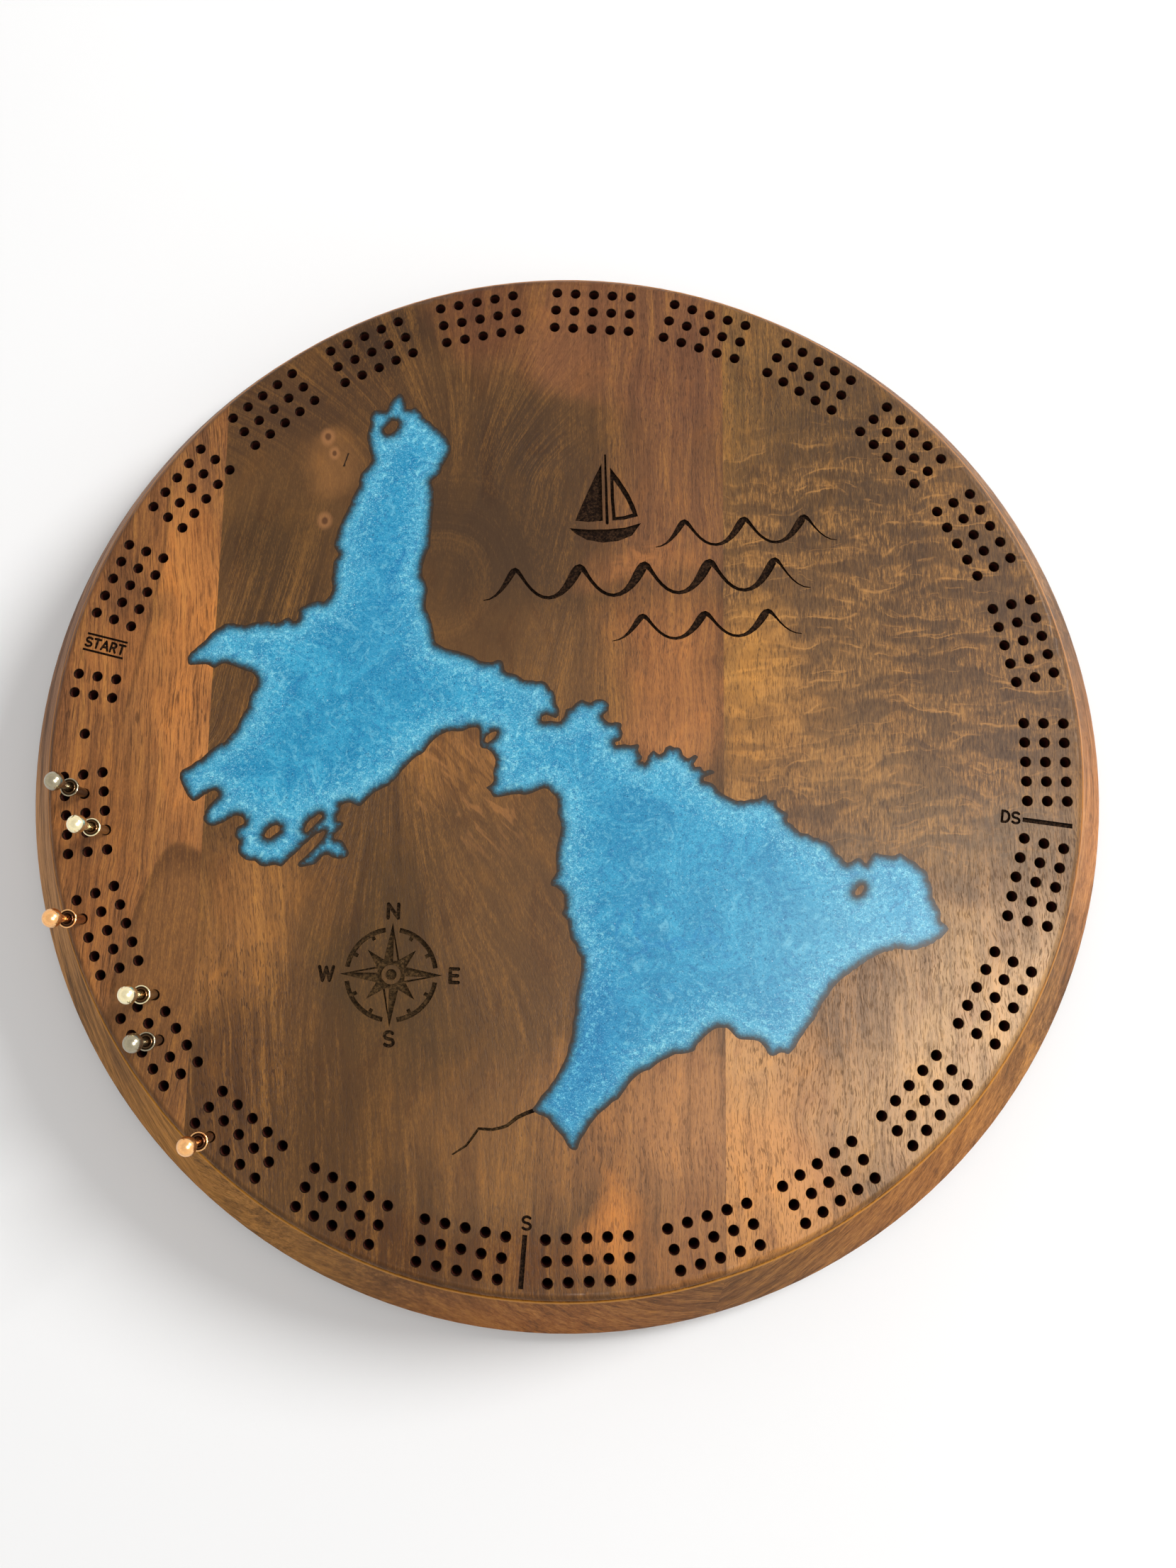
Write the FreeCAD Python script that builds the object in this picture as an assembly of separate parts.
import FreeCAD, Part
import math
import os

# Round cribbage board: an edge-glued walnut disc with a flared rim, three
# parallel tracks of peg holes, a resin lake let into the face, six metal pegs
# standing in their holes, and on the underside a peg compartment with a
# swinging metal cover and four screwed rubber feet.
#
# Frame: +Z up, origin on the disc's axis at the plane the feet stand on.
# +Y runs along the wood grain (the compass rose's north).  Millimetres, degrees
# counted anticlockwise from +X.

V = FreeCAD.Vector
os.makedirs("parts", exist_ok=True)

# ---------------------------------------------------------------- dimensions
OVER = 1.0                  # how far cutting tools run past the surface they open

Z_BOTTOM = 6.0              # underside of the walnut, on top of the feet
BOARD_T = 33.0
Z_TOP = Z_BOTTOM + BOARD_T

RIM_R = 185.8               # widest radius, just above the underside
ARRIS_R = 168.8             # crisp edge at the top of the flare
ARRIS_DROP = 2.4            # depth of the crisp edge below the face
FACE_R = 165.2              # where the flat face starts to roll over
BOTTOM_ROUND = 2.2          # rounded lower edge

SEAM_LEFT_X = -115.5        # glue lines between the three planks
SEAM_RIGHT_X = 52.6
BLANK_HALF = 200.0          # half width of the boxes that divide the disc

PITCH = 6.35                # peg hole pitch, both ways in a block
HOLE_R = 1.60
HOLE_DEPTH = 10.0
HOLE_MOUTH_R = 1.82         # eased edge at the mouth of each hole
HOLE_MOUTH_H = 0.22
TRACK_R = 155.65            # radius of the middle lane
BLOCK_COUNT = 24
BLOCK_FIRST_DEG = 158.86    # block 0; the blocks then run clockwise
BLOCK_STEP_DEG = 14.375
BLOCK_SHIFT_FROM = 11       # blocks from here on sit a little further round
BLOCK_SHIFT_DEG = 0.6
START_BLOCK_R = 155.75
START_BLOCK_DEG = 172.02
FINISH_R = 156.63
FINISH_DEG = 178.00

LAKE_DEPTH = 6.0
CUT_DEPTH = 0.8             # engraved ornament
LABEL_DEPTH = 0.6           # engraved letters and marker lines

PEG_SHAFT_R = 1.50
PEG_TIP_R = 1.1
PEG_IN = HOLE_DEPTH - 0.05
PEG_COLLAR_Z = 12.0         # collar's top edge above the face
PEG_COLLAR_R = 2.90
PEG_NECK_R = 1.15
PEG_BALL_R = 2.95
PEG_BALL_Z = 22.9           # ball centre above the face

STORE_HALF_LENGTH = 38.0    # peg compartment, overall half length
STORE_R = 12.0
STORE_DEPTH = 12.0
MAGNET_X = 55.0
MAGNET_R = 5.0
MAGNET_T = 3.0
COVER_R = 16.0
COVER_T = 1.6
COVER_NOTCH_R = 5.0
COVER_NOTCH_OUT = 1.5       # notch centre beyond the end of the cover
COVER_CHAMFER = 0.25
COVER_WASHER_R = 5.0
COVER_WASHER_T = 0.5
COVER_Z = Z_BOTTOM - COVER_WASHER_T - COVER_T
PIVOT_X = -54.0
PIVOT_R = 2.0               # shoulder of the pivot screw
PIVOT_GAP = 0.08
PIVOT_THREAD_R = 1.75
SCREW_IN = 12.0             # depth of every screw in the walnut
SCREW_TIP_H = 1.5

FOOT_R_TOP = 9.0
FOOT_R_LOW = 7.8
FOOT_ROUND = 0.8
FOOT_PLACE_R = 158.0
FOOT_DEG = 55.0
FOOT_BORE_R = 4.7           # counterbore for the screw head and washer
FOOT_BORE_DEPTH = 3.4
FOOT_HOLE_R = 2.0
FOOT_WASHER_R = 4.5
FOOT_WASHER_T = 0.6
FOOT_SCREW_R = 1.9

# The lake's outline (x, y), closed back to its first point.
LAKE_SHORE = [
    (-57.65, 125), (-56.8, 125), (-56.05, 124.2), (-55.5, 122.6), (-55, 121.6), (-54.8, 119.6),
    (-53.15, 119.35), (-52.45, 119.95), (-52.05, 120.05), (-51.55, 120), (-51.2, 119.75),
    (-50.7, 119), (-50.1, 118.65), (-49.55, 118.1), (-48.9, 116.65), (-47.85, 115.6),
    (-46.6, 115.05), (-44.95, 113.15), (-43.95, 112.6), (-43.4, 111.9), (-42.45, 111.25),
    (-41.25, 110), (-40.4, 108.95), (-39.2, 106.15), (-39.15, 104.9), (-39.3, 104),
    (-40.85, 100.5), (-41.8, 99.05), (-42.3, 96.8), (-43.65, 95.15), (-44.95, 94.1),
    (-45.3, 93.3), (-45.25, 92.6), (-44.55, 90.65), (-44.55, 89.25), (-44.3, 85.25),
    (-44.65, 81.2), (-44.7, 77.7), (-45.05, 74.3), (-45, 70.9), (-46.35, 67.7), (-47.25, 64),
    (-47.4, 62.35), (-47.25, 60.25), (-46.3, 58.55), (-45.35, 55.85), (-45.35, 55), (-45.7, 53.6),
    (-45.9, 50.8), (-45.75, 49.1), (-44.9, 47.65), (-43.65, 44.3), (-42.6, 39.9), (-42.45, 38.5),
    (-41.95, 37.5), (-39.1, 35.85), (-37.4, 35.35), (-34.65, 34.9), (-33.6, 34.45),
    (-29.75, 33.2), (-28.05, 31.95), (-27.05, 31.55), (-25.4, 31.25), (-23.85, 31.2),
    (-23, 31.4), (-21.65, 32.05), (-20.6, 31.95), (-20, 31.55), (-19.7, 31.05), (-19.15, 28.65),
    (-18.25, 27.8), (-16.85, 27.55), (-15.2, 27.1), (-12.85, 25.45), (-11.7, 25.25),
    (-10.2, 25.3), (-8.65, 24.95), (-6.95, 25.15), (-5.75, 24.7), (-4.9, 23.85),
    (-4, 22.3), (-3.2, 21.85), (-2.9, 21.5), (-2.45, 20.25), (-1.95, 17.4), (-1.05, 15.85),
    (-0.95, 14.95), (-1.2, 13.55), (-2.1, 12.65), (-3.15, 13.1), (-4.8, 13.7), (-5.4, 13.7),
    (-6.15, 13.45), (-6.5, 13.1), (-6.65, 12.1), (-6.3, 11.65), (-5.65, 11.6), (-3.65, 11.85),
    (-1.65, 11.5), (-0.65, 11.65), (0.6, 13.3), (1.15, 15.75), (3.05, 16.35), (4.2, 17.7),
    (6, 18.95), (6.75, 18.9), (7.55, 18.45), (9.1, 18), (10.9, 19.1), (12.5, 19.25), (13.9, 18.8),
    (15, 17.8), (15.25, 17.3), (14.95, 15.4), (13.5, 14.05), (13.3, 13.55), (13.45, 13.15),
    (14.35, 12.1), (15.15, 11.55), (16.15, 11.4), (17.25, 11.7), (18.25, 11.65), (19.15, 11.3),
    (19.5, 10.8), (19.25, 9.55), (19.8, 7.95), (19.4, 6.4), (18.8, 5.45), (17.45, 5.05),
    (17.3, 4.65), (17.75, 4), (20.35, 4.4), (22.4, 4.05), (24.4, 4.5), (24.9, 4.4), (25.15, 3.8),
    (24.85, 2.65), (24.95, 2.15), (25.25, 1.45), (26.15, 0.35), (26, -0.6), (25.45, -1.3),
    (26.4, -1.15), (26.55, -1.65), (27.15, -1.5), (27.7, -0.55), (27.9, 0.5), (29.4, 2.3),
    (30.05, 2.35), (31.25, 1.3), (31.85, 1.2), (32.95, 1.9), (33.7, 3.5), (34.9, 4.15),
    (35.4, 4.1), (36.45, 3.55), (37.75, 3.55), (38.25, 3.35), (38.8, 2.7), (39.4, 1),
    (40.6, 0.1), (41.35, 0.1), (42.9, 1.15), (43.5, 1.15), (44.25, 0.55), (42.8, -1.8),
    (43.3, -2.8), (44.5, -2.65), (44.9, -2.65), (45.2, -2.9), (45.7, -3.75), (46.1, -4.05),
    (46.5, -4.05), (47.95, -3.55), (49.1, -3.9), (49.5, -4.35), (49.3, -4.85), (48.2, -5.25),
    (46.15, -6.2), (45.95, -6.7), (46.2, -7.35), (47.6, -7.6), (48.75, -8.05), (49.6, -8.75),
    (50.8, -10.55), (52.9, -11.9), (56.55, -13.65), (58.15, -13.5), (58.9, -13.65),
    (61.1, -13.05), (63.1, -13), (63.85, -12.75), (65.3, -11.75), (65.8, -11.55), (66.2, -11.75),
    (66.45, -12.75), (67, -13.2), (67.65, -13.25), (68.5, -13.1), (69.05, -13.2), (69.35, -13.7),
    (69.35, -14.8), (69.6, -15.4), (71.5, -16.7), (72.3, -17.1), (72.95, -17.7), (73, -18.2),
    (72.65, -19.5), (72.75, -19.95), (73, -20.35), (74.3, -21), (74.85, -21.75), (76.75, -23.55),
    (77.35, -23.75), (79.25, -23.95), (81.1, -25.15), (82.6, -25.2), (83.5, -25.95),
    (85.3, -26.3), (87.05, -27.9), (88.05, -30.1), (89.65, -31), (90.45, -32.3), (91.55, -33.1),
    (92.85, -32.65), (94.3, -31.65), (95.05, -31.45), (95.55, -31.5), (96.05, -31.7),
    (97, -32.9), (97.4, -33.1), (97.8, -33.1), (98.1, -32.35), (98.65, -31.8), (99.35, -30.45),
    (99.95, -29.9), (100.55, -29.65), (102.35, -30.2), (105.9, -30.6), (106.85, -30.4),
    (108.2, -29.7), (109, -29.95), (111.2, -31.6), (113.1, -32.45), (114.75, -34.2),
    (116.05, -34.95), (116.7, -35.6), (117.1, -37.05), (117.1, -37.95), (117.9, -39.4),
    (118.25, -40.75), (118.25, -43.5), (118.85, -44.35), (119.25, -45.7), (119.65, -46.15),
    (119.9, -46.9), (120.5, -47.75), (120.65, -48.75), (120.45, -50.15), (120.65, -51),
    (121, -51.45), (122.25, -52.25), (122.9, -53.35), (122.65, -54), (120.6, -56.3),
    (120.25, -56.55), (119.3, -56.8), (118, -58.1), (117.25, -58.25), (115.5, -59.2),
    (114.8, -59.2), (114.3, -59.5), (113.6, -59.65), (112.6, -60.1), (109.5, -60.3),
    (109, -60.2), (107.95, -59.8), (106.95, -60), (106.3, -59.8), (105.7, -60), (105, -60.65),
    (104.25, -60.55), (103.4, -60.9), (102.65, -60.9), (99.85, -62.2), (99, -62.85),
    (97.65, -63.35), (95.9, -64.8), (94.9, -65.25), (93.75, -66.4), (92.85, -66.65),
    (91.45, -68.05), (90.75, -68.35), (88.7, -69.9), (86.4, -72.3), (85.55, -73.5),
    (84.8, -74.8), (82.65, -77.45), (80.4, -82.2), (78.8, -83.95), (77.45, -85.8), (76.95, -86.7),
    (75.8, -88.15), (74.2, -90.95), (72.95, -92.35), (72.2, -92.9), (71.7, -92.95), (70.8, -92.6),
    (69.9, -92.5), (69.15, -92.75), (68.2, -93.4), (67.1, -93.65), (66.15, -93.3), (65.6, -92.75),
    (65.05, -91.5), (63.85, -89.95), (62.8, -89.15), (61.25, -88.85), (57.75, -88.8),
    (56.75, -88.6), (55.85, -88.05), (53.55, -85.65), (52.9, -85.3), (50.65, -85.3),
    (49.8, -85.5), (48.8, -85.95), (47.45, -86.95), (45.7, -88.5), (44.9, -89.5), (44.1, -90.15),
    (43.55, -90.95), (43.1, -92.25), (42.6, -92.7), (40.25, -93.35), (38.8, -93.55),
    (37.4, -93.55), (36.55, -93.8), (34.6, -94.85), (33.05, -95.55), (31.45, -96.55),
    (29.2, -98.4), (27, -99.15), (25.45, -100.1), (23.75, -101.65), (22.55, -103),
    (21.4, -104.8), (19.4, -107.55), (17.6, -108.5), (16.2, -109.9), (13.35, -112.2),
    (12.65, -113), (10.75, -115.4), (9.05, -118.3), (8.5, -118.95), (7.7, -120.35), (7, -122.55),
    (6.65, -122.95), (6.3, -123.15), (5.3, -123.05), (4.35, -122.5), (3.65, -121.65),
    (2.45, -119.35), (-0.4, -116.55), (-2.45, -113.8), (-3.75, -113.15), (-5.15, -112.75),
    (-6.45, -112.05), (-7, -111.6), (-7.2, -111.1), (-7.05, -110.65), (-6.35, -109.9),
    (-5.1, -107.95), (-4.65, -107.05), (-2.4, -104.75), (-1.65, -103.4), (-0.7, -102.3),
    (0.35, -100.45), (2.6, -95.9), (3.2, -94.35), (3.55, -92.1), (4.35, -89.8), (4.75, -87.75),
    (4.85, -84.6), (5.45, -81.55), (5.5, -80.55), (5.6, -76.7), (7.25, -68.55), (7.15, -64.4),
    (5.9, -62.75), (5.3, -60.4), (3.9, -58.75), (3.65, -58.25), (2.75, -52.8), (1.2, -51.15),
    (0.95, -50.65), (1, -50.15), (1.5, -49.25), (1.7, -48), (1.5, -45), (0.65, -43.65),
    (-1.1, -42.3), (-2.55, -41.9), (-2.8, -41.4), (-2.85, -40.8), (-2.65, -40.15), (-1.7, -38.8),
    (-1, -37.4), (-1.2, -34.15), (-1.35, -33.05), (-1.25, -30.9), (-0.8, -28.1), (-0.15, -25.55),
    (0.2, -22.9), (0.05, -21.55), (-1.15, -18.6), (-1, -15.85), (-1.2, -14.1), (-1.75, -13),
    (-3, -12), (-3.9, -10.95), (-4.55, -10.6), (-5.55, -10.5), (-6.55, -10.8), (-9.35, -12.1),
    (-10.8, -12.55), (-11.95, -12.75), (-13.3, -12.5), (-15.45, -12.6), (-19.75, -13.5),
    (-21.25, -13.6), (-21.75, -13.5), (-22.15, -13.1), (-22.8, -11.9), (-24.3, -10.5),
    (-22.8, -9.55), (-22.2, -8.85), (-21.9, -8.2), (-21.85, -7.45), (-22.1, -5.6), (-21.95, -4.6),
    (-21.5, -2.8), (-21.45, -1.55), (-21.85, -0.45), (-22.6, 0.9), (-23.05, 1.35), (-24.3, 2.2),
    (-25.85, 2.45), (-26.25, 2.75), (-26.55, 3.25), (-26.7, 3.6), (-26.85, 5.1), (-26.9, 8),
    (-27.15, 8.7), (-27.55, 9.1), (-28.05, 9.3), (-29.55, 9.2), (-30.65, 8.85), (-32.35, 7.95),
    (-33.95, 7.85), (-36, 7.95), (-37.45, 7.7), (-40, 6.45), (-41.8, 4.9), (-43.3, 3.15),
    (-44.65, 1), (-45.6, 0.2), (-47.05, -0.5), (-48.55, -1.85), (-51.7, -5.3), (-52.75, -6.9),
    (-54.05, -8.4), (-55, -9.25), (-55.8, -10.2), (-60.55, -12.65), (-64.3, -16.7),
    (-64.95, -17.1), (-65.5, -17.15), (-67.95, -16.15), (-68.7, -16.05), (-69.6, -16.2),
    (-71.05, -16.95), (-71.45, -18.9), (-72.15, -20.6), (-72.15, -21.7), (-71.9, -22.05),
    (-70.95, -22.1), (-70.25, -22.45), (-70.05, -22.8), (-70.1, -23.6), (-70.45, -24.25),
    (-72.65, -26.25), (-72.9, -26.75), (-72.9, -27.25), (-72.8, -27.65), (-72.45, -27.95),
    (-70.65, -28.2), (-69.65, -28.95), (-67.9, -31.95), (-67.9, -32.8), (-68.3, -33.55),
    (-69.5, -34.1), (-71.15, -34.35), (-73.15, -33.9), (-74.45, -33.15), (-75.35, -33.15),
    (-75.85, -33.3), (-76.45, -33.75), (-78.15, -35.75), (-78.75, -36.2), (-82.7, -37.1),
    (-83.45, -37.15), (-84.05, -36.75), (-84.2, -36.3), (-83.85, -35.55), (-81.85, -33.7),
    (-79.15, -30.85), (-76.75, -28.05), (-76.05, -26.6), (-75.8, -25.85), (-75.9, -25.45),
    (-76.35, -25.35), (-76.75, -25.45), (-77.25, -25.95), (-78.35, -26.25), (-80.45, -28),
    (-81.2, -28.95), (-82.8, -30.25), (-85, -32.75), (-86.85, -34.35), (-88.65, -36.45),
    (-89.25, -36.9), (-89.85, -37.05), (-91.4, -36.55), (-94.75, -37.15), (-95.75, -37.05),
    (-96.55, -36.75), (-98.1, -35.4), (-99.9, -35.35), (-101.15, -35.05), (-102.75, -33.9),
    (-103.6, -32.8), (-103.9, -31.35), (-103.85, -30.35), (-103.55, -29.7), (-103.55, -29.3),
    (-103.7, -28.95), (-104.75, -27.75), (-105, -27), (-104.9, -26), (-104.75, -25),
    (-104.4, -24.45), (-102.65, -23.55), (-102.25, -23.2), (-102.25, -22.3), (-102.75, -21.6),
    (-103.3, -21.15), (-103.85, -20.95), (-104.6, -20.8), (-105.35, -20.85), (-105.85, -21.05),
    (-108.95, -23.05), (-111.65, -24.2), (-112.75, -24.3), (-114.2, -23.85), (-115.45, -22.6),
    (-115.6, -22.1), (-115.6, -21.1), (-115.15, -20.45), (-115.2, -19.7), (-114.75, -18.65),
    (-114.1, -17.6), (-111.25, -14.5), (-111.35, -13.4), (-112.3, -12.75), (-113, -12.75),
    (-114.1, -13.2), (-114.75, -13.7), (-115.85, -14.2), (-117.25, -15.45), (-117.95, -15.9),
    (-118.8, -16.25), (-119.5, -16.2), (-121.05, -14.8), (-121.75, -13.7), (-123.2, -11.05),
    (-124.2, -8.75), (-124.2, -7.15), (-123.5, -6.05), (-120.6, -4.5), (-120, -3.85),
    (-118.95, -3.05), (-117.7, -2.45), (-114.8, 0.55), (-112.4, 2.45), (-111.55, 2.9),
    (-110.55, 3.15), (-110.1, 3.45), (-108.6, 5.55), (-107.65, 6.6), (-106.75, 7.95),
    (-106.35, 8.85), (-105.65, 11), (-104.85, 12.35), (-104.45, 13.35), (-103.9, 14.05),
    (-103.45, 14.95), (-103.1, 16.95), (-102.95, 18.6), (-102.4, 19.75), (-101.4, 21.2),
    (-100.7, 22.9), (-100.75, 24.1), (-100.95, 24.75), (-101.7, 25.95), (-102.5, 26.65),
    (-103.25, 26.95), (-104.55, 27.2), (-108.15, 28.65), (-111.2, 29.65), (-112.1, 29.7),
    (-113.05, 29.35), (-114.45, 28.35), (-115.1, 28.05), (-115.5, 28.15), (-117.2, 29.15),
    (-118.2, 29.35), (-122.95, 29.05), (-123.6, 29.2), (-124, 29.75), (-124.15, 31.2),
    (-124.1, 31.75), (-123.6, 32.75), (-123.1, 33.5), (-122.15, 34.2), (-121.1, 35.35),
    (-118.7, 37.45), (-117.15, 39.6), (-115.6, 41.05), (-113.65, 42.3), (-112.6, 43.25),
    (-109.6, 43.5), (-108.5, 43.15), (-106.85, 43), (-105.7, 42.75), (-103.35, 43.65),
    (-102, 44), (-100.5, 43.9), (-99.4, 44), (-98.3, 44.35), (-96.85, 43.8), (-95.35, 43.7),
    (-94.15, 44.15), (-93.2, 44.85), (-92.1, 45.45), (-91.35, 45.65), (-90.95, 45.5),
    (-89.65, 44.4), (-89.15, 44.4), (-88.6, 44.75), (-88.2, 45.4), (-88.05, 47.15),
    (-88.25, 48.25), (-87.45, 49.2), (-86.1, 49.75), (-85.05, 50.55), (-82.7, 51.3),
    (-81.45, 51.5), (-80.45, 51.2), (-79.8, 51.2), (-78.05, 53.2), (-77.45, 54.85),
    (-77.25, 56.6), (-77.8, 59.25), (-77.35, 61.75), (-77.4, 64), (-77.1, 65.4), (-75.95, 67),
    (-75.75, 67.5), (-75.9, 68.1), (-77.1, 69.8), (-77.3, 70.4), (-77.25, 72.3), (-76.7, 73.85),
    (-76.45, 76), (-75.3, 78.7), (-74.9, 80.2), (-73.65, 82.7), (-73.25, 83.95), (-72.55, 85.25),
    (-72, 87.55), (-70, 91.7), (-69.9, 92.3), (-70, 93.55), (-69.5, 95.85), (-68.6, 97.15),
    (-66.9, 99.05), (-65.95, 100.85), (-66.2, 102.45), (-67, 104.4), (-67.15, 105.9),
    (-67.9, 108.85), (-67.75, 111), (-66.95, 114.2), (-67.25, 115.7), (-67, 116.8),
    (-66.6, 117.95), (-66.05, 118.65), (-65.65, 118.9), (-64.3, 119), (-62.4, 118.8),
    (-61.9, 118.9), (-61.55, 119.15), (-61.15, 119.7), (-60.9, 121), (-60.45, 121.85),
    (-59.2, 123.6), (-58.45, 124.15), (-58, 124.8),
]
# One (x, y) outline for each island of wood standing in the lake.
LAKE_ISLANDS = [
    [(-78.2, -20), (-78.6, -20.2), (-79.2, -20.8), (-80.7, -21.7), (-81.8, -23.1), (-82.2, -24),
     (-82.5, -25), (-82.5, -25.4), (-82.2, -25.8), (-81.8, -25.9), (-81.4, -25.6), (-80.8, -24.9),
     (-80.1, -24.3), (-77.2, -21), (-77.1, -20.7), (-77.2, -20.3), (-77.8, -20)],
    [(-92.1, -23.8), (-93, -24.1), (-94.8, -25.7), (-95.3, -26.9), (-95.3, -27.3), (-94.9, -27.7),
     (-94.2, -28), (-93.5, -27.9), (-92.8, -27.2), (-90.8, -25.7), (-90.5, -24.7),
     (-90.7, -24.2), (-91.4, -23.8)],
    [(-21.8, 8), (-22.9, 7.7), (-24.4, 6.6), (-25, 5.6), (-25.1, 5.1), (-25.1, 4.7), (-24.3, 4.3),
     (-24.1, 4.3), (-22.4, 5.6), (-21.8, 6.3), (-21.4, 7.1), (-21.3, 7.6), (-21.4, 7.9),
     (-21.6, 8)],
    [(95.7, -40.1), (95.3, -40.4), (94.8, -40.9), (93.9, -42.2), (93.8, -42.9), (94.2, -43.3),
     (94.6, -43.3), (95.6, -42.9), (96.1, -42.3), (96.6, -41.4), (96.7, -40.9), (96.6, -40.3),
     (96.2, -40.1)],
    [(-59.6, 115.1), (-62.1, 112.2), (-61.8, 111), (-61, 110.4), (-59.8, 110.6), (-58.3, 111.7),
     (-57.4, 113.7), (-57.5, 114.6), (-58, 115)],
]


# ------------------------------------------------------------------- helpers
def save(name, shape):
    shape.exportStep("parts/%s.step" % name)


def polar(r, deg):
    return (r * math.cos(math.radians(deg)), r * math.sin(math.radians(deg)))


def cyl(r, height, x, y, z):
    return Part.makeCylinder(r, height, V(x, y, z), V(0, 0, 1))


def ring(outer_r, inner_r, height, x, y, z):
    return cyl(outer_r, height, x, y, z).cut(cyl(inner_r, height + 2 * OVER, x, y, z - OVER))


def closed_wire(points, z=0.0):
    return Part.makePolygon([V(x, y, z) for x, y in points + points[:1]])


def prism(points, z0, z1):
    return Part.Face(closed_wire(points, z0)).extrude(V(0, 0, z1 - z0))


def lathe(path):
    """Revolve a closed (radius, z) outline about Z.

    A step is one point for a line, or a pair of points (through, end) for an arc.
    """
    edges = []
    here = V(path[0][0], 0, path[0][1])
    for step in path[1:] + path[:1]:
        is_arc = isinstance(step[0], tuple)
        r, z = step[1] if is_arc else step
        end = V(r, 0, z)
        if is_arc:
            through = V(step[0][0], 0, step[0][1])
            edges.append(Part.Arc(here, through, end).toShape())
        else:
            edges.append(Part.makeLine(here, end))
        here = end
    return Part.Face(Part.Wire(edges)).revolve(V(0, 0, 0), V(0, 0, 1), 360)


def stadium(x0, x1, r, z, height):
    """A round-ended slab along X, its end arcs centred on x0 and x1."""
    a, b = V(x0, -r, z), V(x1, -r, z)
    c, d = V(x1, r, z), V(x0, r, z)
    outline = Part.Wire([
        Part.makeLine(a, b),
        Part.Arc(b, V(x1 + r, 0, z), c).toShape(),
        Part.makeLine(c, d),
        Part.Arc(d, V(x0 - r, 0, z), a).toShape()])
    return Part.Face(outline).extrude(V(0, 0, height))


def place(points, x0, y0, deg):
    """Turn points about the origin, then move the origin to (x0, y0)."""
    c, s = math.cos(math.radians(deg)), math.sin(math.radians(deg))
    return [(x0 + x * c - y * s, y0 + x * s + y * c) for x, y in points]


def arc_points(x, y, rx, ry, deg0, deg1, steps):
    angles = [math.radians(deg0 + (deg1 - deg0) * i / steps) for i in range(steps + 1)]
    return [(x + rx * math.cos(t), y + ry * math.sin(t)) for t in angles]


def groove(points, depth=CUT_DEPTH):
    return prism(points, Z_TOP - depth, Z_TOP + OVER)


def groove_around(outer, inner):
    """A groove that leaves the wood standing inside the inner outline."""
    return groove(outer).cut(prism(inner, Z_TOP - CUT_DEPTH - OVER, Z_TOP + 2 * OVER))


def stroke(path, widths, depth=CUT_DEPTH, caps=True):
    """A groove of changing width along a path; caps round off its ends."""
    last = len(path) - 1
    left, right = [], []
    for i, (x, y) in enumerate(path):
        ax, ay = path[max(i - 1, 0)]
        bx, by = path[min(i + 1, last)]
        dx, dy = bx - ax, by - ay
        length = math.hypot(dx, dy)
        nx, ny = -dy / length, dx / length
        h = widths[i] / 2.0
        left.append((x + nx * h, y + ny * h))
        right.append((x - nx * h, y - ny * h))

    def cap(end, neighbour):
        x, y = path[end]
        t = math.atan2(y - path[neighbour][1], x - path[neighbour][0])
        h = widths[end] / 2.0
        return [(x + h * math.cos(t + s), y + h * math.sin(t + s))
                for s in (math.radians(45), 0.0, math.radians(-45))]

    end_cap = cap(last, last - 1) if caps else []
    start_cap = cap(0, 1) if caps else []
    return groove(left + end_cap + right[::-1] + start_cap, depth)


# ------------------------------------------------------------------- letters
S_CURVE = (arc_points(0.34, 0.745, 0.32, 0.245, 35, 270, 9)
           + arc_points(0.34, 0.255, 0.34, 0.245, 90, -145, 9)[1:])
D_BOWL = arc_points(0.28, 0.5, 0.40, 0.5, 80, -80, 8)
R_BOWL = arc_points(0.32, 0.74, 0.27, 0.26, 75, -75, 6)

# Stick capitals one unit high: letter -> (width, strokes)
LETTERS = {
    "N": (0.78, [[(0.02, 0), (0.02, 1)], [(0.02, 1), (0.76, 0)], [(0.76, 0), (0.76, 1)]]),
    "E": (0.66, [[(0.04, 0), (0.04, 1)], [(0.04, 0.99), (0.64, 0.99)],
                 [(0.04, 0.5), (0.58, 0.5)], [(0.04, 0.01), (0.64, 0.01)]]),
    "W": (1.04, [[(0.0, 1), (0.26, 0)], [(0.26, 0), (0.52, 0.95)],
                 [(0.52, 0.95), (0.78, 0)], [(0.78, 0), (1.04, 1)]]),
    "S": (0.68, [S_CURVE]),
    "D": (0.70, [[(0.04, 0), (0.04, 1)],
                 [(0.04, 1), (0.28, 1)] + D_BOWL + [(0.28, 0), (0.04, 0)]]),
    "T": (0.66, [[(0.0, 0.99), (0.66, 0.99)], [(0.33, 1), (0.33, 0)]]),
    "A": (0.74, [[(0.0, 0), (0.37, 1)], [(0.37, 1), (0.74, 0)], [(0.14, 0.32), (0.60, 0.32)]]),
    "R": (0.66, [[(0.04, 0), (0.04, 1)],
                 [(0.04, 1), (0.32, 1)] + R_BOWL + [(0.32, 0.48), (0.04, 0.48)],
                 [(0.30, 0.48), (0.62, 0)]]),
}


def label(word, size, width, x0, y0, deg=0, gap=0.30):
    """Letter grooves centred on (x0, y0); gap is in letter heights."""
    x = -(sum(LETTERS[c][0] for c in word) + gap * (len(word) - 1)) / 2.0
    grooves = []
    for c in word:
        advance, strokes = LETTERS[c]
        for points in strokes:
            sized = [((x + px) * size, (py - 0.5) * size) for px, py in points]
            path = place(sized, x0, y0, deg)
            grooves.append(stroke(path, [width] * len(path), LABEL_DEPTH))
        x += advance + gap
    return grooves


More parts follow.
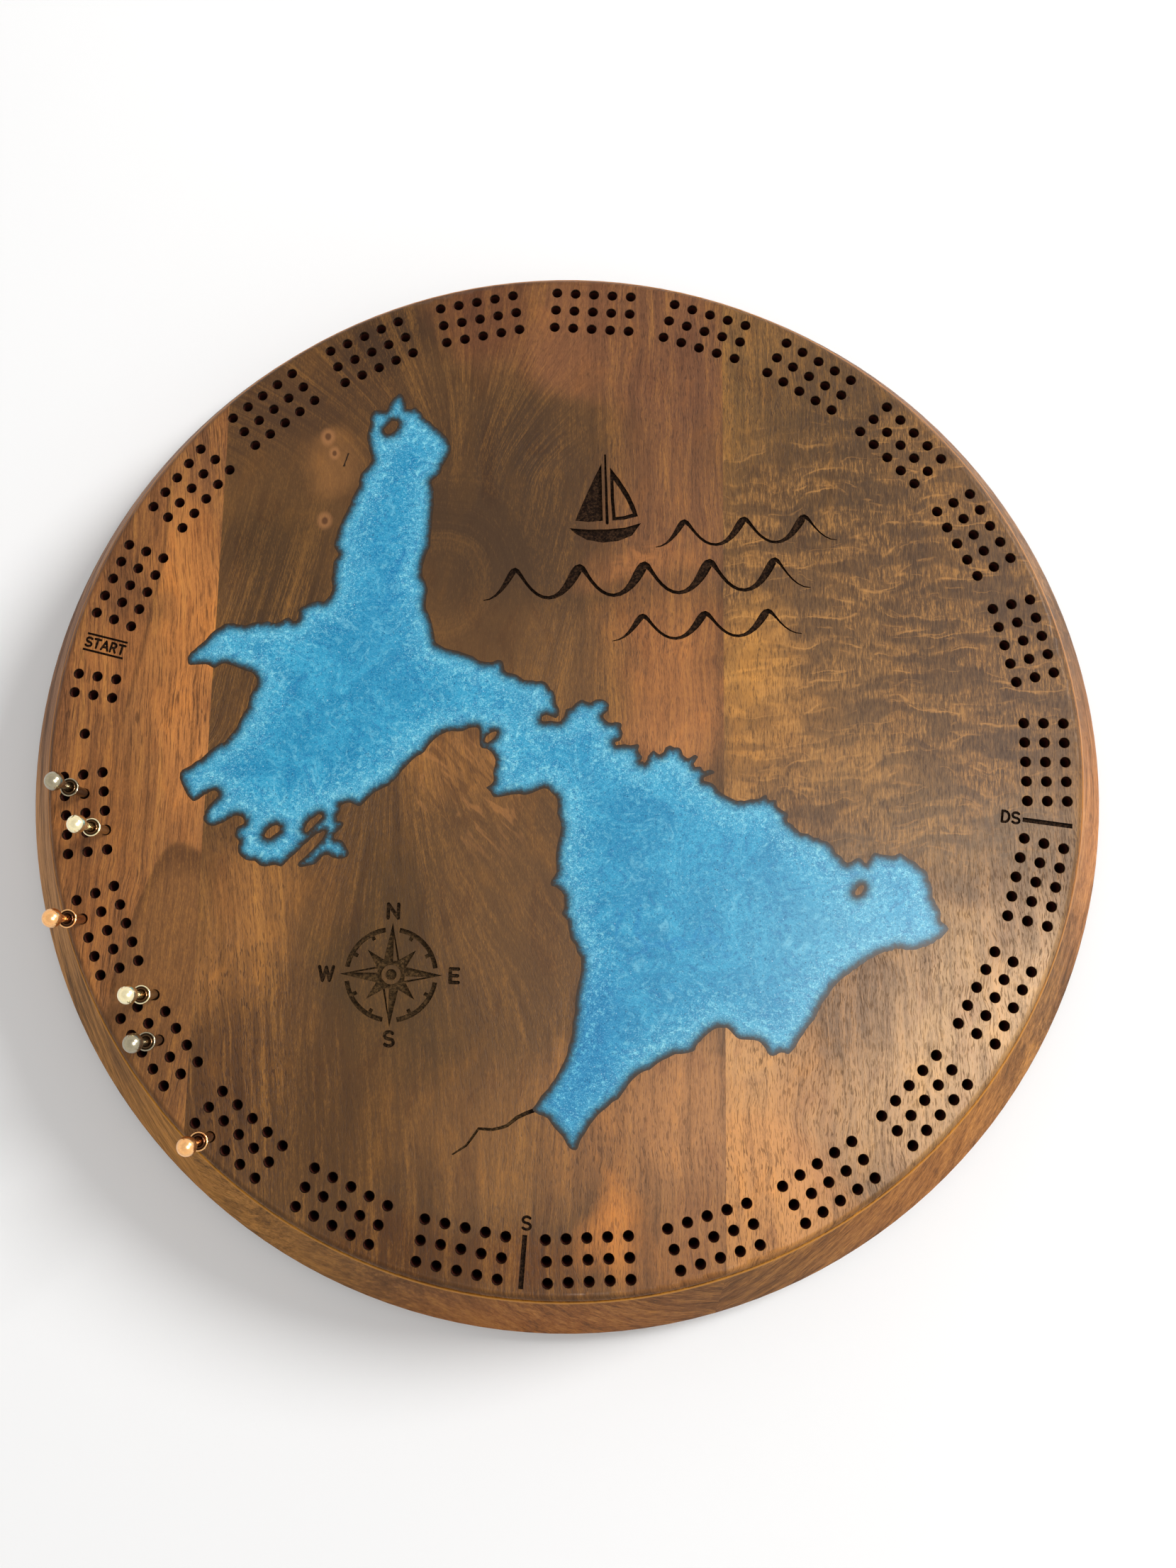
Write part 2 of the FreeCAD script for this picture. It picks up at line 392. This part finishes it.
# ---------------------------------------------------------------- engraving
def creek():
    """The creek running out of the lake's southern tip."""
    path = [(-6.6, -111.4), (-9.2, -112.4), (-11.9, -113.7), (-13.5, -115.0), (-15.0, -116.2),
            (-16.9, -116.9), (-19.6, -117.5), (-21.7, -117.4), (-23.8, -117.3), (-24.6, -118.4),
            (-26.3, -120.8), (-27.6, -122.5), (-29.6, -123.8), (-31.6, -125.1)]
    widths = [1.3, 1.2, 1.2, 1.1, 1.0, 1.0, 0.9, 0.9, 0.9, 0.8, 0.8, 0.7, 0.6, 0.5]
    return [stroke(path, widths)]


def compass_rose():
    x, y = -52.8, -70.7
    ring_inner, ring_outer = 13.4, 14.9
    point = [(0, 16.3), (-2.75, 3.2), (2.75, 3.2)]
    sliver = [(0.5, 11.9), (0.5, 4.3), (1.85, 4.3)]     # wood left in one half of a point
    quarter_point = [(0, 10.9), (-1.75, 4.4), (-1.45, 3.0), (1.45, 3.0), (1.75, 4.4)]
    tick = [(-0.6, 12.1), (0.6, 12.1), (0.6, 14.0), (-0.6, 14.0)]
    grooves = []
    for turn in (0.0, 90.0, 180.0, 270.0):
        grooves.append(groove_around(place(point, x, y, turn), place(sliver, x, y, turn)))
        grooves.append(groove(place(quarter_point, x, y, turn + 45)))
        grooves.append(groove(
            arc_points(x, y, ring_outer, ring_outer, turn + 99, turn + 171, 14)
            + arc_points(x, y, ring_inner, ring_inner, turn + 171, turn + 99, 14)))
        for tick_deg in (28, 62):
            grooves.append(groove(place(tick, x, y, turn + tick_deg)))
    grooves.append(ring(3.65, 3.05, CUT_DEPTH + OVER, x, y, Z_TOP - CUT_DEPTH))
    grooves.append(cyl(1.75, CUT_DEPTH + OVER, x, y, Z_TOP - CUT_DEPTH))
    # letter, size, stroke width, offset from the rose's centre
    for letter, size, width, dx, dy in (("N", 4.4, 1.15, 0, 20.0), ("E", 4.3, 1.15, 20.0, 0),
                                        ("S", 4.4, 1.10, 0, -19.9), ("W", 4.3, 1.10, -20.6, 0)):
        grooves += label(letter, size, width, x + dx, y + dy)
    return grooves


def track_marks():
    """START between two lines, then two lines across the track and their letters."""
    x, y = polar(156.0, 166.95)
    start_turn = -13.4
    grooves = []
    for offset in (-2.75, 2.75):
        path = place([(-7.0, offset), (7.0, offset)], x, y, start_turn)
        grooves.append(stroke(path, [0.72, 0.72], LABEL_DEPTH, caps=False))
    grooves += label("START", 3.0, 0.80, x, y, start_turn, gap=0.26)
    for deg in (-7.1, -93.4):
        path = [polar(148.7, deg), polar(164.5, deg)]
        grooves.append(stroke(path, [1.5, 1.5], LABEL_DEPTH, caps=False))
    grooves += label("DS", 3.5, 0.85, *polar(144.9, -7.0), deg=-6.9, gap=0.24)
    grooves += label("S", 3.8, 0.85, *polar(145.2, -93.3), deg=-3.3)
    return grooves


def wave(x, y, crests, length, height, lean, thin, thick):
    """A brushed wave line, thin to thick along each crest and faded at both ends."""
    steps = 16 * crests
    path, widths = [], []
    for i in range(steps + 1):
        s = i / steps
        t = 2 * math.pi * crests * s
        fade = min(1.0, 5.0 * s, 5.0 * (1 - s)) ** 0.7
        path.append((length * (s - 0.5) + lean * math.sin(t), -height * math.cos(t)))
        brush = thin + (thick - thin) * (0.5 - 0.5 * math.cos(t + 0.9)) ** 2
        widths.append(brush * (0.25 + 0.75 * fade))
    return stroke(place(path, x, y, 3.0), widths)


def sail_boat():
    def at_boat(points):
        return place(points, 14.0, 76.0, 4)

    hull = [(-12.5, 2.4), (-6, 1.5), (0, 1.25), (6, 1.5), (11.5, 2.8),
            (8.2, -1.4), (3.6, -3.0), (-1.6, -3.3), (-7.0, -2.0), (-10.6, 0.4)]
    mast = [(0.2, 3.4), (0.5, 14), (0.9, 27.5)]
    left_sail = [(-1.2, 4.3), (-0.9, 14.0), (-0.5, 24.5), (-3.2, 19.6), (-6.0, 14.2),
                 (-8.6, 8.9), (-10.4, 4.9), (-6, 4.2)]
    right_sail = [(2.3, 23.0), (5.2, 18.6), (8.0, 13.4), (9.8, 8.6), (10.6, 5.2),
                  (6.0, 4.3), (2.0, 4.2), (1.9, 13.0)]
    right_sail_wood = [(3.2, 18.4), (5.0, 15.4), (7.2, 11.0), (8.9, 6.3), (5.8, 5.5),
                       (3.1, 5.4), (3.0, 12.0)]
    return [groove(at_boat(hull)),
            stroke(at_boat(mast), [1.0, 0.85, 0.6]),
            groove(at_boat(left_sail)),
            groove_around(at_boat(right_sail), at_boat(right_sail_wood))]


def engraving():
    waves = [
        wave(27.0, 60.0, crests=5, length=108.0, height=5.0, lean=1.7, thin=1.1, thick=3.4),
        wave(47.0, 44.5, crests=3, length=62.0, height=4.0, lean=1.5, thin=0.9, thick=2.6),
        wave(60.0, 77.0, crests=3, length=60.0, height=4.2, lean=1.5, thin=0.9, thick=2.6)]
    return creek() + compass_rose() + track_marks() + waves + sail_boat()


# ---------------------------------------------------------------- peg holes
def track_point(r, deg, along, across):
    """A point so many pitches clockwise and outward from a block's centre."""
    t = math.radians(deg)
    r += across * PITCH
    u = along * PITCH
    return (r * math.cos(t) + u * math.sin(t), r * math.sin(t) - u * math.cos(t))


def block_hole(block, i, lane):
    """Hole i (0..4 clockwise along the block), lane 0 (inner) to 2 (outer)."""
    deg = BLOCK_FIRST_DEG - BLOCK_STEP_DEG * block
    if block >= BLOCK_SHIFT_FROM:
        deg -= BLOCK_SHIFT_DEG
    return track_point(TRACK_R, deg, i - 2, lane - 1)


def hole_tools():
    places = [block_hole(block, i, lane)
              for block in range(BLOCK_COUNT) for i in range(5) for lane in range(3)]
    places += [track_point(START_BLOCK_R, START_BLOCK_DEG, along, across)
               for along in (-0.5, 0.5) for across in (-1, 0, 1)]
    places.append(polar(FINISH_R, FINISH_DEG))
    master = lathe([(0, -HOLE_DEPTH), (HOLE_R, -HOLE_DEPTH), (HOLE_R, -HOLE_MOUTH_H),
                    (HOLE_MOUTH_R, 0.0), (HOLE_MOUTH_R, OVER), (0, OVER)])
    tools = []
    for x, y in places:
        tool = master.copy()
        tool.translate(V(x, y, Z_TOP))
        tools.append(tool)
    return tools


# ------------------------------------------------------------ board and lake
FEET = {
    "foot_north_east": polar(FOOT_PLACE_R, FOOT_DEG),
    "foot_north_west": polar(FOOT_PLACE_R, 180 - FOOT_DEG),
    "foot_south_west": polar(FOOT_PLACE_R, 180 + FOOT_DEG),
    "foot_south_east": polar(FOOT_PLACE_R, -FOOT_DEG),
}


def walnut_disc():
    inset = BOTTOM_ROUND * (1 - math.sin(math.radians(45)))
    lip_r, lip_z = ARRIS_R - 0.75, Z_TOP - ARRIS_DROP + 0.22
    return lathe([
        (0, Z_BOTTOM), (RIM_R - BOTTOM_ROUND, Z_BOTTOM),
        ((RIM_R - inset, Z_BOTTOM + inset), (RIM_R, Z_BOTTOM + BOTTOM_ROUND)),
        (ARRIS_R, Z_TOP - ARRIS_DROP), (lip_r, lip_z),
        ((lip_r - 0.62, lip_z + 1.42), (FACE_R, Z_TOP)),
        (0, Z_TOP)])


def lake(height):
    face = Part.Face([closed_wire(LAKE_SHORE)] + [closed_wire(p) for p in LAKE_ISLANDS])
    face.translate(V(0, 0, Z_TOP - LAKE_DEPTH))
    return face.extrude(V(0, 0, height))


def underside_tools():
    """Peg compartment, pivot screw hole, magnet seat and foot screw holes."""
    end_x = STORE_HALF_LENGTH - STORE_R
    z = Z_BOTTOM - OVER
    tools = [stadium(-end_x, end_x, STORE_R, z, STORE_DEPTH + OVER),
             cyl(PIVOT_THREAD_R, SCREW_IN + OVER, PIVOT_X, 0, z),
             cyl(MAGNET_R, MAGNET_T + OVER, MAGNET_X, 0, z)]
    return tools + [cyl(FOOT_SCREW_R, SCREW_IN + OVER, x, y, z) for x, y in FEET.values()]


def save_planks():
    disc = walnut_disc()
    pocket = lake(LAKE_DEPTH + 2 * OVER)
    tools = hole_tools() + engraving() + underside_tools()
    for name, x0, x1 in (("plank_left", -BLANK_HALF, SEAM_LEFT_X),
                         ("plank_centre", SEAM_LEFT_X, SEAM_RIGHT_X),
                         ("plank_right", SEAM_RIGHT_X, BLANK_HALF)):
        box = Part.makeBox(x1 - x0, 2 * BLANK_HALF, 60, V(x0, -BLANK_HALF, -5))
        hits = [t for t in tools if t.BoundBox.XMax > x0 and t.BoundBox.XMin < x1]
        plank = disc.common(box).cut(pocket).cut(hits)
        # Any loose chip of wood is dropped.
        save(name, max(plank.Solids, key=lambda solid: solid.Volume))


# --------------------------------------------------------------------- pegs
# name -> (block, hole, lane)
PEGS = {
    "peg_nickel_lead": (23, 3, 1),
    "peg_gold_lead": (23, 1, 0),
    "peg_copper_lead": (22, 3, 2),
    "peg_gold_back": (21, 4, 0),
    "peg_nickel_back": (21, 2, 1),
    "peg_copper_back": (20, 3, 2),
}


def peg():
    """Shaft, dished collar, neck and ball; z = 0 is the board's face."""
    top = PEG_COLLAR_Z
    ball_join = PEG_BALL_Z - math.sqrt(PEG_BALL_R ** 2 - PEG_NECK_R ** 2)
    return lathe([
        (0, -PEG_IN), (PEG_TIP_R, -PEG_IN), (PEG_SHAFT_R, -PEG_IN + 0.8),
        (PEG_SHAFT_R, top - 3.2),
        ((1.85, top - 1.75), (PEG_COLLAR_R, top - 0.75)),
        (PEG_COLLAR_R, top - 0.2),
        ((PEG_COLLAR_R - 0.07, top - 0.06), (PEG_COLLAR_R - 0.22, top)),
        (2.42, top),
        ((1.95, top - 0.34), (1.55, top - 0.1)),
        ((1.24, top + 0.85), (PEG_NECK_R, top + 2.2)),
        (PEG_NECK_R, ball_join),
        ((PEG_BALL_R, PEG_BALL_Z), (0, PEG_BALL_Z + PEG_BALL_R))])


def save_pegs():
    for name, hole in PEGS.items():
        x, y = block_hole(*hole)
        shape = peg()
        shape.translate(V(x, y, Z_TOP))
        save(name, shape)


# ------------------------------------------------------------ cover and feet
def pan_screw(x, y, head_r, head_h, seat_z, thread_r, shoulder=None):
    """Pan head screw pointing up; seat_z is the head's bearing face.

    shoulder is an optional (radius, top z) of a plain part under the thread.
    """
    z0 = seat_z - head_h
    end_z = Z_BOTTOM + SCREW_IN
    path = [(0, z0), (head_r * 0.62, z0),
            ((head_r * 0.93, z0 + head_h * 0.32), (head_r, z0 + head_h * 0.8)),
            (head_r, seat_z)]
    if shoulder:
        shoulder_r, shoulder_z = shoulder
        path += [(shoulder_r, seat_z), (shoulder_r, shoulder_z), (thread_r, shoulder_z)]
    else:
        path.append((thread_r, seat_z))
    screw = lathe(path + [(thread_r, end_z - SCREW_TIP_H), (0, end_z)])
    # cross slot
    long, narrow = head_r * 1.15, head_r * 0.26
    for dx, dy in ((long, narrow), (narrow, long)):
        screw = screw.cut(Part.makeBox(dx, dy, head_h * 0.55 + OVER,
                                       V(-dx / 2, -dy / 2, z0 - OVER)))
    screw.translate(V(x, y, 0))
    return screw


def storage_cover():
    """Round-ended plate with a pivot hole and a round notch in its magnet end."""
    cover = stadium(PIVOT_X, MAGNET_X, COVER_R, COVER_Z, COVER_T)
    notch_x = MAGNET_X + COVER_R + COVER_NOTCH_OUT
    cover = cover.cut([cyl(PIVOT_R + PIVOT_GAP, 6, PIVOT_X, 0, COVER_Z - 2),
                       cyl(COVER_NOTCH_R, 6, notch_x, 0, COVER_Z - 2)])
    lower_edges = [edge for edge in cover.Edges
                   if abs(edge.BoundBox.ZMin - COVER_Z) < 1e-6
                   and abs(edge.BoundBox.ZMax - COVER_Z) < 1e-6]
    return cover.makeChamfer(COVER_CHAMFER, lower_edges)


def save_cover():
    save("storage_cover", storage_cover())
    save("cover_pivot_screw", pan_screw(
        PIVOT_X, 0, head_r=4.2, head_h=2.0, seat_z=COVER_Z - 0.05,
        thread_r=PIVOT_THREAD_R, shoulder=(PIVOT_R, Z_BOTTOM)))
    save("cover_washer", ring(COVER_WASHER_R, PIVOT_R + 0.1, COVER_WASHER_T,
                              PIVOT_X, 0, Z_BOTTOM - COVER_WASHER_T))
    save("cover_magnet", cyl(MAGNET_R, MAGNET_T, MAGNET_X, 0, Z_BOTTOM))


def foot():
    body = lathe([(0, 0), (FOOT_R_LOW - FOOT_ROUND, 0),
                  ((FOOT_R_LOW - 0.18, 0.22), (FOOT_R_LOW, FOOT_ROUND)),
                  (FOOT_R_TOP, Z_BOTTOM), (0, Z_BOTTOM)])
    return body.cut([cyl(FOOT_BORE_R, FOOT_BORE_DEPTH + OVER, 0, 0, -OVER),
                     cyl(FOOT_HOLE_R, Z_BOTTOM + 3 * OVER, 0, 0, -OVER)])


def save_feet():
    washer_z = FOOT_BORE_DEPTH - FOOT_WASHER_T
    screws, washers = [], []
    for name, (x, y) in FEET.items():
        shape = foot()
        shape.translate(V(x, y, 0))
        save(name, shape)
        washers.append(ring(FOOT_WASHER_R, FOOT_HOLE_R, FOOT_WASHER_T, x, y, washer_z))
        screws.append(pan_screw(x, y, head_r=3.6, head_h=1.8, seat_z=washer_z,
                                thread_r=FOOT_SCREW_R))
    save("foot_washers", Part.makeCompound(washers))
    save("foot_screws", Part.makeCompound(screws))


save_planks()
save("resin_inlay", lake(LAKE_DEPTH))
save_pegs()
save_cover()
save_feet()
